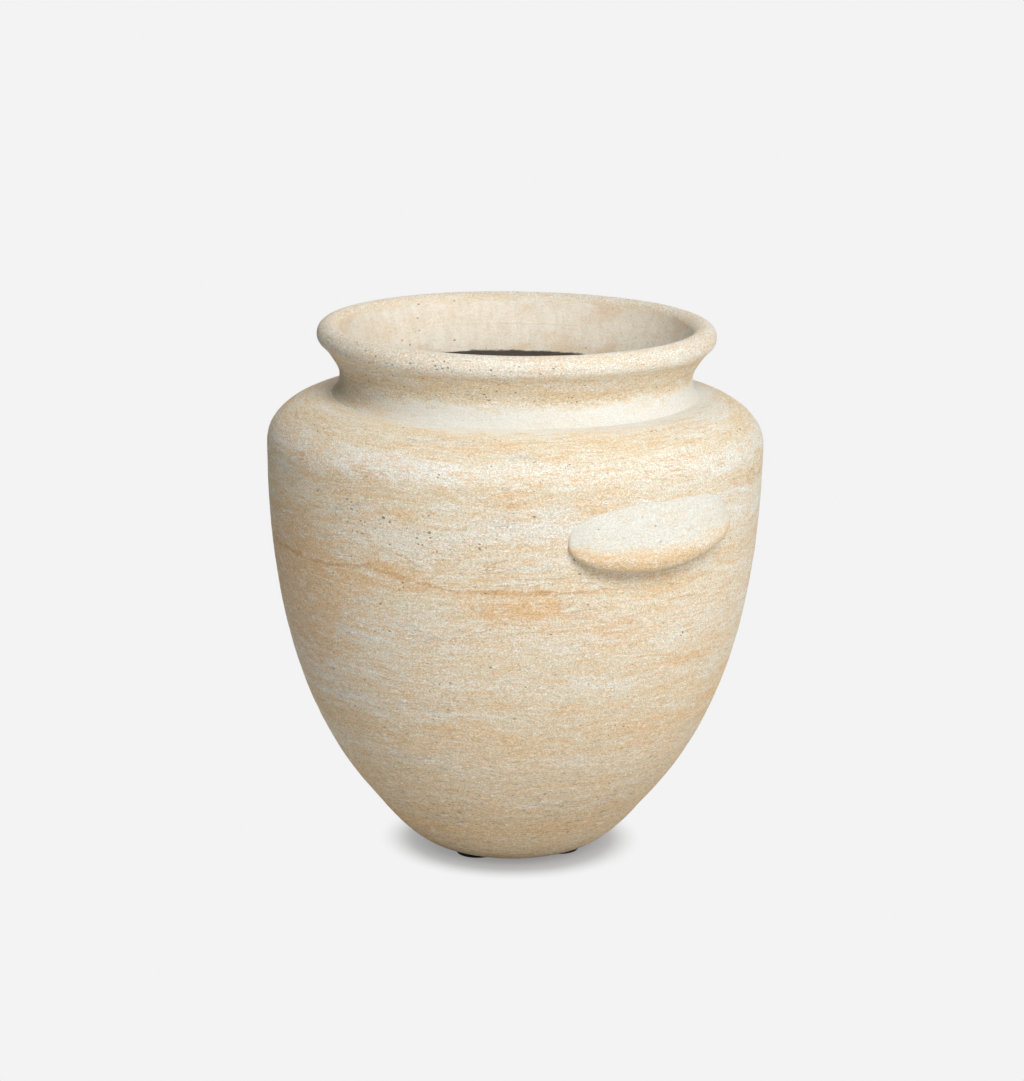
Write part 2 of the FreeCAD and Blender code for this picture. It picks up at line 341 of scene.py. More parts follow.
def grid_corners(row, column, rows, columns):
    """The corners of each face of a grid that closes on itself both ways."""
    next_row, next_column = (row + 1) % rows, (column + 1) % columns
    faces = [
        row * columns + column,
        row * columns + next_column,
        next_row * columns + next_column,
        next_row * columns + column,
    ]
    return np.stack(faces, axis=2).reshape(-1)


def ring_piece(name, node, material, parts, columns=COLUMNS, relief=clay_relief):
    """A closed ring. Each of its section's parts is a line, its point spacing and its share of relief."""
    outline, share, spread = ring_section(parts)
    rows = len(outline) - 1
    outline, share = outline[:-1], share[:-1]
    home = nearest_on_outline(outline)
    normal = OUTLINE_NORMAL[home]
    angles = np.arange(columns) * 2 * math.pi / columns
    cos, sin = np.cos(angles)[None, :], np.sin(angles)[None, :]
    radius, height = outline[:, :1] * MM, (outline[:, 1:] + PAD_THICKNESS) * MM
    base = np.stack(np.broadcast_arrays(radius * cos, radius * sin, height), axis=2).reshape(-1, 3)
    out = np.stack(np.broadcast_arrays(normal[:, :1] * cos, normal[:, :1] * sin, normal[:, 1:]), axis=2)
    stand, pore = relief(base)
    weight = np.repeat(share, columns)
    points = base + out.reshape(-1, 3) * (stand * weight)[:, None]
    grain = np.c_[base[:, :2], np.repeat(OUTLINE_LENGTH[home] * MM, columns)]
    row, column = np.meshgrid(np.arange(rows), np.arange(columns), indexing="ij")
    strip = columns // STRIPS
    left = (column % strip) / strip
    right = left + 1 / strip
    low, high = [(column // strip + spread[row + step]) / STRIPS for step in (0, 1)]
    places = np.stack([left, low, right, low, right, high, left, high], axis=2)
    corners = grid_corners(row, column, rows, columns)
    sizes = np.full(rows * columns, 4)
    attributes = {"grain": grain, "pore": pore * (weight > 0)}
    return new_piece(name, points, corners, sizes, places.reshape(-1, 2), attributes, material, node)


def make_courses(material):
    """The base dish, the four courses of the body wall and the shoulder."""
    joint_inside = along(BODY_INSIDE, SCARF)
    ring_piece("base_dish_clay", "base_dish", material, [
        ([(DRAIN_R, FLOOR_Z), (DRAIN_R, RECESS[1])], DRAIN_STEP, 0),
        ([(DRAIN_R, RECESS[1]), RECESS], COARSE / 2, 0),
        ([RECESS, (RECESS[0], 0)], COARSE / 4, 0),
        ([(RECESS[0], 0), FOOT[0]], COARSE / 2, 0),
        (bezier(FOOT), STEP, 1),
        ([FOOT[3], joint_inside], COARSE, 0),
        (bezier(BODY_INSIDE, 0, SCARF)[::-1], COARSE, 0),
        (bezier(FOOT_INSIDE)[::-1], COARSE, 0),
        ([FOOT_INSIDE[0], (DRAIN_R, FLOOR_Z)], COARSE, 0),
    ])
    for name, start, end in zip(COURSE_NAMES, COURSE_JOINTS, COURSE_JOINTS[1:]):
        last = 1.0 if end == 1.0 else end + SCARF
        outside = bezier(BODY, start, end)
        inside = bezier(BODY_INSIDE, start + SCARF, last)[::-1]
        ring_piece(name + "_clay", name, material, [
            (outside, STEP, 1),
            ([outside[-1], inside[0]], COARSE, 0),
            (inside, COARSE * 2, 0),
            ([inside[-1], outside[0]], COARSE, 0),
        ])
    inside = bezier(SHOULDER_INSIDE)[::-1]
    ring_piece("shoulder_course_clay", "shoulder_course", material, [
        (bezier(SHOULDER), STEP, 1),
        ([CREASE, inside[0]], COARSE, 0),
        (inside, COARSE, 0),
        ([inside[-1], BELLY], COARSE, 0),
    ])


def make_neck_and_rim(material):
    """The waisted neck with the lower part of the funnel, and the rolled rim with its upper part."""
    joint = bezier(FUNNEL, 0, FUNNEL_JOINT)
    inside = bezier(NECK_INSIDE)[::-1]
    ring_piece("neck_collar_clay", "neck_collar", material, [
        (bezier(LOWER_COVE), STEP, 1),
        (bezier(UPPER_COVE), STEP, 1),
        ([GROOVE, joint[-1]], COARSE, 0),
        (joint[::-1], STEP, 0.5),
        (inside, COARSE, 0),
        ([inside[-1], CREASE], COARSE, 0),
    ])
    lip = bezier(FUNNEL, FUNNEL_JOINT, 1.0)[::-1]
    ring_piece("rim_coil_clay", "rim_coil", material, [
        ([GROOVE, RIM_ARC[0]], STEP, 1),
        (RIM_ARC, RIM_STEP, 1),
        (lip, STEP, 0.5),
        ([lip[-1], GROOVE], COARSE, 0),
    ])


def make_coating(material):
    """The dark coat over the floor and the inside of the wall, with an uneven brushed edge in the throat."""
    covered = [FOOT_INSIDE, BODY_INSIDE, SHOULDER_INSIDE, NECK_INSIDE]
    behind = [[(SEAT_R, FLOOR_Z)], *(bezier(poles) for poles in covered), bezier(FUNNEL, 0, COATING_TOP)]
    front = [bezier(offset_poles(poles, COATING)) for poles in covered]
    behind = np.concatenate(behind)
    front = np.concatenate(front)[::-1]
    made = ring_piece("inside_coating_skin", "inside_coating", material, [
        (behind, COARSE * 2, 0),
        ([behind[-1], front[0]], COATING_EDGE_STEP, 0),
        (front, COATING_STEP, 1),
        ([front[-1], (SEAT_R, FLOOR_Z + COATING)], COATING_STEP, 1),
        ([(SEAT_R, FLOOR_Z + COATING), (SEAT_R, FLOOR_Z)], COATING_EDGE_STEP, 0),
    ], COATING_COLUMNS, coating_relief)
    points = np.empty(len(made.data.vertices) * 3, np.float32)
    made.data.vertices.foreach_get("co", points)
    points = points.reshape(-1, 3)
    edge = np.clip((points[:, 2] / MM - PAD_THICKNESS - THROAT[1] + 6) / 6, 0, 1)
    points[:, 2] += edge * COATING_EDGE_WAVE * (noise(points, (22, 22, 1), 14) - 0.2)
    made.data.vertices.foreach_set("co", points.ravel())


# Lug handles
LUG_COLUMNS = 168
LUG_ROWS = 96
LUG_HIDDEN_ROWS = 2
LUG_END = 0.9985

# A lug's grain lies apart from the jar's: its third coordinate falls from its top value down the lug
JAR_GRAIN_TOP = 1.5
LUG_GRAIN_TOP = 2.0
LUG_GRAIN_SHIFT = (0.31, 0.17, 0)

# Where the ends of a lug lie in its map
CAP_CENTRES = [(0.05, 0.96), (0.15, 0.96)]
CAP_R = 0.02


def oval(share, power):
    """How wide an oval still is at a share of its half length. A higher power makes its ends blunter."""
    return (1 - np.abs(share) ** power) ** (1 / power)


def wall_radius(height):
    """Outer radius of the body wall at a height above the base, both in millimetres."""
    body = bezier(BODY)
    return np.interp(height, body[:, 1], body[:, 0])


def lug_section(share):
    """Points round a lug's section: down the sloping top, round the lip, back to the wall and behind it."""
    low = oval(share, LUG_LOW_POWER)
    middle = LUG_MIDDLE_Z + LUG_TILT * share
    top_z = middle + LUG_HALF_HEIGHT * oval(share, LUG_TOP_POWER)
    lip_r = LUG_LIP_R * low
    lip_z = middle - LUG_HALF_HEIGHT * low + lip_r + LUG_LIP_RISE * max(0.0, share) * low ** 0.5
    top = np.array([wall_radius(top_z) - 0.6, top_z])
    lip = np.array([wall_radius(lip_z) + LUG_REACH * oval(share, LUG_REACH_POWER) - lip_r, lip_z])
    gap = top - lip
    touch = math.atan2(gap[1], gap[0]) - math.acos(lip_r / np.linalg.norm(gap))
    turns = np.linspace(touch, -math.pi / 2, 40)
    arc = lip + lip_r * np.c_[np.cos(turns), np.sin(turns)]
    # The top is hollowed a little where it leaves the wall and swells before the lip
    slope = np.linspace(0, 1, 60)[:, None]
    across = np.array([top[1] - arc[0][1], arc[0][0] - top[0]]) / np.linalg.norm(arc[0] - top)
    swell = 1.2 * low * np.sin(slope * math.pi) * (slope - 0.35)
    face = top + (arc[0] - top) * slope + across * swell
    under = [wall_radius(arc[-1][1]) - 0.8, arc[-1][1] - 0.2]
    seen = spaced(np.concatenate([face, arc[1:], [under]]), 0.02)
    keep = np.linspace(0, len(seen) - 1, LUG_ROWS - LUG_HIDDEN_ROWS).round().astype(int)
    behind = [[under[0] - 3, under[1] + 1.0], [top[0] - 3, top[1] - 1.0]]
    return np.concatenate([seen[keep], behind])


def cap_map(centre):
    """Places in the map for the fan that closes one end of a lug: its rim, the rim's next point, its hub."""
    turn = np.arange(LUG_ROWS + 1) * 2 * math.pi / LUG_ROWS
    rim = np.c_[np.cos(turn), np.sin(turn)] * CAP_R + centre
    return rim[:-1], rim[1:], np.full((LUG_ROWS, 2), centre)


def lug_surface(turn):
    """The points of a lug, section after section and then its two hubs, with their grain and their pores."""
    shares = np.sin(np.linspace(-math.pi / 2, math.pi / 2, LUG_COLUMNS + 2)[1:-1]) * LUG_END
    flat = np.array([lug_section(share) for share in shares])
    angle = np.radians(LUG_HALF_DEG * shares)[:, None] + turn
    radius, height = flat[..., 0] * MM, (flat[..., 1] + PAD_THICKNESS) * MM
    base = np.stack([radius * np.cos(angle), radius * np.sin(angle), height], axis=2)
    normal = np.cross(np.gradient(base, axis=0), np.gradient(base, axis=1))
    normal /= np.linalg.norm(normal, axis=2)[..., None] + 1e-12
    stand, pore = clay_relief(base.reshape(-1, 3))
    free = np.ones(LUG_ROWS)
    free[:3] = [0, 0.3, 0.7]
    free[-5:] = [0.5, 0, 0, 0, 0]
    points = base - normal * (stand.reshape(base.shape[:2]) * free)[..., None]
    middle = flat[LUG_COLUMNS // 2]
    down = np.r_[0, np.cumsum(np.linalg.norm(np.diff(middle, axis=0), axis=1))] * MM
    grain = base + LUG_GRAIN_SHIFT
    grain[..., 2] = LUG_GRAIN_TOP - down
    points = np.concatenate([points.reshape(-1, 3), [points[0].mean(axis=0), points[-1].mean(axis=0)]])
    grain = np.concatenate([grain.reshape(-1, 3), [grain[0].mean(axis=0), grain[-1].mean(axis=0)]])
    pore = np.r_[(pore.reshape(base.shape[:2]) * free).reshape(-1), 0, 0]
    return points, {"grain": grain, "pore": pore}


def lug_faces():
    """The corners of a lug's faces, how many corners each face has, and their places in its map."""
    column, row = np.meshgrid(np.arange(LUG_COLUMNS - 1), np.arange(LUG_ROWS), indexing="ij")
    after = (row + 1) % LUG_ROWS
    quads = np.stack([
        column * LUG_ROWS + row,
        column * LUG_ROWS + after,
        (column + 1) * LUG_ROWS + after,
        (column + 1) * LUG_ROWS + row,
    ], axis=2)
    along_u = np.linspace(0.02, 0.98, LUG_COLUMNS)
    along_v = np.linspace(0.02, 0.92, LUG_ROWS + 1)
    left, right = along_u[column], along_u[column + 1]
    low, high = along_v[row], along_v[row + 1]
    quad_map = np.stack([left, low, left, high, right, high, right, low], axis=2)
    here = np.arange(LUG_ROWS)
    after = (here + 1) % LUG_ROWS
    last = (LUG_COLUMNS - 1) * LUG_ROWS
    hub = np.full(LUG_ROWS, LUG_COLUMNS * LUG_ROWS)
    first_cap = np.stack([after, here, hub], axis=1)
    last_cap = np.stack([last + here, last + after, hub + 1], axis=1)
    rim, rim_after, middle = cap_map(CAP_CENTRES[0])
    first_map = np.stack([rim_after, rim, middle], axis=1)
    rim, rim_after, middle = cap_map(CAP_CENTRES[1])
    last_map = np.stack([rim, rim_after, middle], axis=1)
    corners = np.concatenate([quads.reshape(-1), first_cap.reshape(-1), last_cap.reshape(-1)])
    places = np.concatenate([quad_map.reshape(-1, 2), first_map.reshape(-1, 2), last_map.reshape(-1, 2)])
    sizes = np.r_[np.full((LUG_COLUMNS - 1) * LUG_ROWS, 4), np.full(2 * LUG_ROWS, 3)]
    return corners, sizes, places


def make_lug(name, node, material, turn):
    """A tongue of sections along the wall, with its ends closed by fans."""
    points, attributes = lug_surface(turn)
    return new_piece(name, points, *lug_faces(), attributes, material, node)


# Plug and pads
TURNED_COLUMNS = 96
TURNED_STEP = 0.6
RIB_R = 0.7
RIB_HEIGHTS = (9.0, 13.0, 17.0)


def turned_piece(name, node, material, profile, centre=(0.0, 0.0), body="jar"):
    """A small solid turned about an upright line, where its profile starts below and ends above."""
    profile = spaced(profile, TURNED_STEP)
    rows = len(profile) - 2
    angles = np.arange(TURNED_COLUMNS) * 2 * math.pi / TURNED_COLUMNS
    radius, height = profile[1:-1, :1], profile[1:-1, 1:]
    rings = np.stack(np.broadcast_arrays(radius * np.cos(angles), radius * np.sin(angles), height), axis=2)
    hubs = [[0, 0, profile[0, 1]], [0, 0, profile[-1, 1]]]
    points = (np.concatenate([rings.reshape(-1, 3), hubs]) + [*centre, 0]) * MM
    row, column = np.meshgrid(np.arange(rows - 1), np.arange(TURNED_COLUMNS), indexing="ij")
    after = (column + 1) % TURNED_COLUMNS
    first = row * TURNED_COLUMNS
    last = first + TURNED_COLUMNS
    quads = np.stack([first + column, first + after, last + after, last + column], axis=2)
    here = np.arange(TURNED_COLUMNS)
    after = (here + 1) % TURNED_COLUMNS
    top = (rows - 1) * TURNED_COLUMNS
    hub = np.full(TURNED_COLUMNS, rows * TURNED_COLUMNS)
    lower_cap = np.stack([after, here, hub], axis=1)
    upper_cap = np.stack([top + here, top + after, hub + 1], axis=1)
    corners = np.concatenate([quads.reshape(-1), lower_cap.reshape(-1), upper_cap.reshape(-1)])
    left, right = column / TURNED_COLUMNS, (column + 1) / TURNED_COLUMNS
    low, high = row / rows * 0.8, (row + 1) / rows * 0.8
    quad_map = np.stack([left, low, right, low, right, high, left, high], axis=2)
    cap_map_places = np.stack([here + 1, here, here + 0.5], axis=1) / TURNED_COLUMNS
    lower_map = np.stack([cap_map_places, np.broadcast_to([0.84, 0.84, 0.90], cap_map_places.shape)], axis=2)
    upper_map = lower_map[:, [1, 0, 2]] + [0, 0.08]
    places = np.concatenate([quad_map.reshape(-1, 2), lower_map.reshape(-1, 2), upper_map.reshape(-1, 2)])
    sizes = np.r_[np.full((rows - 1) * TURNED_COLUMNS, 4), np.full(2 * TURNED_COLUMNS, 3)]
    return new_piece(name, points, corners, sizes, places, {"grain": points}, material, node, body)


def arc(centre, radius, start, end):
    """Points round an arc, from one angle in degrees to another."""
    angles = np.radians(np.linspace(start, end, 24))
    return np.c_[centre[0] + radius * np.cos(angles), centre[1] + radius * np.sin(angles)]


def make_plug(material):
    """A rubber stopper: a tapered tip, three sealing ribs, a flange and a knob with a dished top."""
    base = PAD_THICKNESS
    seat = base + FLOOR_Z
    shank = PLUG_SHANK_R - RIB_R
    ribs = [arc((shank, base + height), RIB_R, -90, 90) for height in RIB_HEIGHTS]
    profile = [
        [(0, base + 4.4), (4.0, base + 4.4), (5.0, base + 4.0), (PLUG_SHANK_R - 2.2, base + 4.0)],
        [(shank, base + 6.4)],
        *ribs,
        [(shank, seat), (19.5, seat), (20.0, seat)],
        arc((20.6, seat + 2.0), 2.0, -70, 90),
        [(18.6, seat + 3.6), (16.0, seat + 3.9), (9.5, seat + 4.2)],
        arc((9.5, seat + 7.2), 3.0, -90, -175),
        arc((6.6, seat + 13.25), 3.2, -70, 70),
        [(5.6, seat + 16.9), (3.0, seat + 16.3), (0, seat + 16.1)],
    ]
    turned_piece("drain_plug_rubber", "drain_plug", material, np.concatenate(profile), body="plug")


def make_pads(material):
    """Four rubber pads with rounded edges, a groove and a dimple in the underside."""
    for index, name in enumerate(PAD_NAMES):
        turn = math.radians(PAD_FIRST_DEG + 90 * index)
        centre = (PAD_CIRCLE_R * math.cos(turn), PAD_CIRCLE_R * math.sin(turn))
        profile = [
            [(0, 0.8)],
            [(4.0, 0.8), (5.0, 0.0), (13.0, 0.0), (13.6, 0.6), (14.6, 0.6), (15.2, 0.0)],
            arc((PAD_R - 1.0, 1.0), 1.0, -90, 0),
            arc((PAD_R - 0.6, PAD_THICKNESS - 0.6), 0.6, 0, 90),
            [(0, PAD_THICKNESS)],
        ]
        turned_piece(name + "_rubber", name, material, np.concatenate(profile), centre)


# Materials
class Finish:
    """A procedural material under construction."""

    def __init__(self, name):
        self.material = bpy.data.materials.new(name)
        self.material.use_nodes = True
        self.nodes = self.material.node_tree.nodes
        self.links = self.material.node_tree.links
        self.shader = self.nodes["Principled BSDF"]

    def add(self, kind, inputs, output=0, **settings):
        """A new node of this kind. Its inputs are numbers, colours or other nodes' outputs."""
        node = self.nodes.new("ShaderNode" + kind)
        for key, value in settings.items():
            setattr(node, key, value)
        for key, value in inputs.items():
            self.feed(node.inputs[key], value)
        return node.outputs[output]

    def feed(self, socket, value):
        """Joins another node's output to a socket, or sets the socket to a number or colour."""
        if isinstance(value, bpy.types.NodeSocket):
            self.links.new(value, socket)
        else:
            socket.default_value = value

    def attribute(self, name, output):
        return self.add("Attribute", {}, output, attribute_name=name)

    def coordinate(self, vector, axis):
        """One coordinate of a vector, with 0, 1 or 2 for X, Y or Z."""
        return self.add("SeparateXYZ", {"Vector": vector}, axis)

    def math(self, operation, a, b=0.0, c=0.0):
        return self.add("Math", {0: a, 1: b, 2: c}, operation=operation)

    def stretch(self, vector, scale):
        return self.add("Mapping", {"Vector": vector, "Scale": scale})

    def noise(self, vector, detail=2.0, roughness=0.5, distortion=0.0):
        """Smooth noise about 0.5. The vector is stretched to as many waves a metre as it should have."""
        inputs = {"Vector": vector, "Scale": 1.0, "Detail": detail}
        return self.add("TexNoise", {**inputs, "Roughness": roughness, "Distortion": distortion})

    def fade(self, value, low, high, start=0.0, end=1.0):
        """start where the value is at or under low, end at or over high, and a smooth change between."""
        inputs = {"Value": value, "From Min": low, "From Max": high, "To Min": start, "To Max": end}
        return self.add("MapRange", inputs, interpolation_type="SMOOTHSTEP")

    def mix(self, factor, a, b):
        return self.add("Mix", {0: factor, 6: a, 7: b}, 2, data_type="RGBA")

    def band(self, value, centre, width):
        """1 where the value is at the centre, falling to 0 at this width from it."""
        return self.fade(self.math("ABSOLUTE", self.math("SUBTRACT", value, centre)), 0.0, width, 1.0, 0.0)

    def tint(self, factor, colour, tint):
        """The colour multiplied by a tint, as far as the factor says."""
        return self.add("Mix", {0: factor, 6: colour, 7: tint}, 2, data_type="RGBA", blend_type="MULTIPLY")

    def both(self, *masks):
        """The product of masks and numbers."""
        product = masks[0]
        for mask in masks[1:]:
            product = self.math("MULTIPLY", product, mask)
        return product

    def dress(self, colour, roughness, height, strength, depth):
        """The finished material, with this colour, roughness and bump."""
        self.feed(self.shader.inputs["Base Color"], colour)
        self.feed(self.shader.inputs["Roughness"], roughness)
        bump = self.add("Bump", {"Height": height, "Strength": strength, "Distance": depth})
        self.feed(self.shader.inputs["Normal"], bump)
        return self.material


# Colours of the travertine look, linear. The last two multiply what lies under them.
CREAM = (0.80, 0.72, 0.56, 1)
WHITE = (0.86, 0.86, 0.82, 1)
# Pale stone colour with a painted highlight in it, for the cove
COVE_HIGHLIGHT = (0.82, 0.83, 0.79, 1)
# Pale stone colour with a painted highlight in it, for the tops of the lugs
LUG_TOP_HIGHLIGHT = (0.74, 0.76, 0.72, 1)
OCHRE = (0.79, 0.53, 0.28, 1)
TAN = (0.60, 0.45, 0.27, 1)
RUST = (0.58, 0.31, 0.12, 1)
GREY = (0.42, 0.42, 0.41, 1)
THROAT_CREAM = (0.97, 0.90, 0.78, 1)
PAINT = (0.05, 0.042, 0.034, 1)
SPECK = (0.36, 0.28, 0.17, 1)
PORE_SHADE = (0.15, 0.095, 0.05, 1)
LIGHT_GRAIN = (1.14, 1.15, 1.19, 1)
DARK_GRAIN = (0.84, 0.81, 0.73, 1)

# Ochre and pale bands round the body: height and half height in millimetres, and strength
OCHRE_BANDS = [(322, 17, 0.30), (404, 13, 0.22), (168, 15, 0.22), (50, 16, 0.15)]
PALE_BANDS = [(436, 13, 0.55), (354, 10, 0.25), (276, 28, 0.30), (222, 12, 0.30), (135, 12, 0.25)]

# Patches of the finish: degrees right of the camera, height, half width in degrees, half height, strength
WHITE_PATCHES = [
    (-29, 436, 17, 17, 0.7),
    (-4.5, 308, 2.5, 5, 0.8),
    (-28, 372, 22, 18, 0.35),
]
OCHRE_PATCHES = [
    (1, 304, 12, 17, 0.80),
    (-27, 322, 20, 10, 0.45),
    (26, 272, 12, 15, 0.40),
    (48, 235, 17, 5, 0.6),
    (-60, 290, 24, 85, 0.62),
]
PORE_PATCHES = [
    (-27, 372, 24, 26, 0.42),
    (-15, 500, 60, 16, 0.34),
    (-22, 525, 40, 12, 0.40),
    (48, 390, 12, 20, 0.35),
]
GREY_PATCHES = [
    (-43, 255, 7, 5, 0.9),
    (-51, 192, 12, 5, 0.9),
    (29, 195, 5, 4, 0.8),
    (2, 345, 8, 4, 0.7),
]
CAMERA_TURN_FROM_LUG = CAMERA_AZIMUTH - math.pi / 2

# The long vein: its height in millimetres, and how far in metres it climbs and drops towards the left
VEIN_Z = 321
VEIN_CLIMB = 0.013
VEIN_DROP = -0.006

# Where the rim ends inside and where the throat is, in metres along the outline
RIM_END = float(OUTLINE_LENGTH[nearest_on_outline(RIM_ARC[-1:])[0]]) * MM
THROAT_AT = float(OUTLINE_LENGTH[nearest_on_outline(np.array([THROAT]))[0]]) * MM


class StonePlaces:
    """Where a point lies in the finish: its grain, its turn from the camera, its length up the outline."""

    def __init__(self, f):
        self.grain = f.attribute("grain", 1)
        swirl = f.add("TexNoise", {"Vector": self.grain, "Scale": 9.0, "Detail": 2.0}, 1)
        swirl = f.add("VectorMath", {0: swirl, 1: (0.5, 0.5, 0.5)}, operation="SUBTRACT")
        push = {0: swirl, 1: (0.014, 0.014, 0.026), 2: self.grain}
        self.warped = f.add("VectorMath", push, operation="MULTIPLY_ADD")
        turn = f.math("ARCTAN2", f.coordinate(self.grain, 1), f.coordinate(self.grain, 0))
        self.turn = f.math("SUBTRACT", turn, CAMERA_TURN_FROM_LUG)
        self.length = f.coordinate(self.grain, 2)
        self.high = f.fade(self.length, 0.05, 0.33, 0.22, 1.0)
        self.rag = f.math("SUBTRACT", f.noise(f.stretch(self.grain, (55, 55, 120)), 4.0, 0.65), 0.5)
        self.rough_length = f.math("MULTIPLY_ADD", self.rag, 0.030, self.length)
        self.warped_length = f.coordinate(self.warped, 2)
        self.on_jar = f.math("LESS_THAN", self.length, JAR_GRAIN_TOP)
        self.inside = f.math("MULTIPLY", self.on_jar, f.fade(self.length, RIM_END - 0.010, RIM_END + 0.004))

    def patch(self, f, degrees, height, half_degrees, half_height, strength):
        """An oval patch with a ragged edge."""
        across = f.math("SUBTRACT", self.turn, math.radians(degrees))
        across = f.math("DIVIDE", across, math.radians(half_degrees))
        up = f.math("SUBTRACT", self.length, length_at(height))
        up = f.math("DIVIDE", up, half_height * MM)
        away = f.math("SQRT", f.math("ADD", f.math("POWER", across, 2.0), f.math("POWER", up, 2.0)))
        return f.fade(f.math("MULTIPLY_ADD", self.rag, 2.2, away), 0.55, 1.15, strength, 0.0)


def stone_ground(f, at):
    """Cream, with soft bands, streaks and patches of ochre and white."""
    bands = f.noise(f.stretch(at.warped, (2.6, 2.6, 20)), 3.0, 0.55)
    strata = f.noise(f.stretch(at.warped, (10, 10, 90)), 4.0, 0.65)
    tone = f.math("MULTIPLY_ADD", bands, 0.55, f.math("MULTIPLY", strata, 0.45))
    colour = f.mix(f.fade(at.length, 0.02, 0.36, 0.55, 0.0), CREAM, TAN)
    colour = f.mix(f.both(f.fade(tone, 0.51, 0.61, 0.0, 0.70), at.high), colour, WHITE)
    colour = f.mix(f.fade(tone, 0.36, 0.48, 0.60, 0.0), colour, OCHRE)
    for height, half, strength in OCHRE_BANDS:
        mask = f.band(at.warped_length, length_at(height), half * 1.6 * MM)
        colour = f.mix(f.both(mask, f.fade(strata, 0.66, 0.34), strength), colour, OCHRE)
    for height, half, strength in PALE_BANDS:
        mask = f.band(at.warped_length, length_at(height), half * 1.6 * MM)
        colour = f.mix(f.both(mask, strength), colour, WHITE)
    for patch in WHITE_PATCHES:
        colour = f.mix(at.patch(f, *patch), colour, WHITE)
    for patch in OCHRE_PATCHES:
        colour = f.mix(at.patch(f, *patch), colour, OCHRE)
    return colour


def stone_veins(f, at, colour):
    """Streaks, and thin wavy lines: ochre ones in many places and grey ones in a few."""
    streaks = f.noise(f.stretch(at.warped, (26, 26, 240)), 4.0, 0.66, 0.5)
    colour = f.mix(f.fade(streaks, 0.55, 0.64, 0.0, 0.55), colour, OCHRE)
    colour = f.mix(f.both(f.fade(streaks, 0.37, 0.46, 0.60, 0.0), at.high), colour, WHITE)
    lines = f.noise(f.stretch(at.warped, (6, 6, 46)), 5.0, 0.60, 0.8)
    kept = f.fade(f.noise(f.stretch(at.grain, (8, 8, 30))), 0.42, 0.60)
    colour = f.mix(f.both(f.band(lines, 0.50, 0.016), kept, 0.62), colour, OCHRE)
    colour = f.mix(f.both(f.band(lines, 0.585, 0.012), kept, 0.60), colour, RUST)
    grey_kept = f.fade(f.noise(f.stretch(at.grain, (7, 7, 22)), 1.0), 0.66, 0.74)
    for patch in GREY_PATCHES:
        grey_kept = f.math("MAXIMUM", grey_kept, at.patch(f, *patch))
    grey_lines = f.noise(f.stretch(at.warped, (16, 16, 130)), 3.0, 0.6, 0.4)
    colour = f.mix(f.both(f.band(grey_lines, 0.5, 0.075), grey_kept, 0.7), colour, WHITE)
    return f.mix(f.both(f.band(grey_lines, 0.5, 0.022), grey_kept, 0.7), colour, GREY)


def long_vein(f, at, colour):
    """One long brown vein. It runs level in front and climbs towards the left."""
    climb = f.fade(at.turn, math.radians(-34), math.radians(-12), VEIN_CLIMB, 0.0)
    drop = f.fade(at.turn, math.radians(-48), math.radians(-35), VEIN_DROP, 0.0)
    vein_at = f.math("ADD", f.math("ADD", climb, drop), length_at(VEIN_Z))
    wander = f.math("MULTIPLY_ADD", at.rag, 0.012, f.math("SUBTRACT", at.length, vein_at))
    width = f.fade(f.noise(f.stretch(at.grain, (28, 28, 1))), 0.35, 0.65, 0.0006, 0.0032)
    vein = f.math("SUBTRACT", 1.0, f.math("DIVIDE", f.math("ABSOLUTE", wander), width))
    shown = f.fade(f.math("ABSOLUTE", f.math("ADD", at.turn, 0.45)), 0.75, 1.05, 0.50, 0.0)
    return f.mix(f.both(f.fade(vein, 0.0, 0.6), shown), colour, RUST)


def stone_grain(f, at, colour, plain_and_highlit):
    """Curly ochre threads and small pale, tan and dark grains everywhere, but fewer inside the funnel and
    where a painted highlight lies on the cove and the lug tops.
    """
    share = f.math("MULTIPLY_ADD", plain_and_highlit, -0.60, 1.0)
    curls = f.noise(f.stretch(at.warped, (110, 110, 290)), 2.0, 0.65, 1.4)
    crowd = f.fade(f.noise(f.stretch(at.grain, (13, 13, 45)), 3.0, 0.6), 0.40, 0.62, 0.12, 0.75)
    colour = f.mix(f.both(f.band(curls, 0.50, 0.055), crowd, share), colour, OCHRE)
    colour = f.mix(f.both(f.fade(curls, 0.57, 0.67, 0.0, 0.55), share), colour, WHITE)
    colour = f.tint(share, colour, f.mix(f.fade(curls, 0.28, 0.46), DARK_GRAIN, (1, 1, 1, 1)))
    dashes = f.noise(f.stretch(at.warped, (55, 55, 560)), 2.0, 0.6)
    colour = f.mix(f.both(f.fade(dashes, 0.57, 0.66, 0.0, 0.50), share), colour, OCHRE)
    grit = f.noise(f.stretch(at.grain, (600, 600, 900)), 2.0, 0.75, 0.4)
    colour = f.tint(share, colour, f.mix(f.fade(grit, 0.40, 0.58), LIGHT_GRAIN, DARK_GRAIN))
    marks = f.noise(f.stretch(at.warped, (110, 110, 620)), 2.0, 0.6)
    low = f.math("SUBTRACT", 1.0, at.high)
    colour = f.mix(f.both(f.fade(marks, 0.59, 0.66, 0.0, 1.0), low), colour, SPECK)
    specks = f.noise(f.stretch(at.warped, (300, 300, 460)), 2.0, 0.70, 0.8)
    colour = f.mix(f.both(f.fade(specks, 0.63, 0.70, 0.0, 0.60), share), colour, SPECK)
    return colour, f.math("MULTIPLY_ADD", curls, 0.5, f.math("MULTIPLY", grit, 0.5))


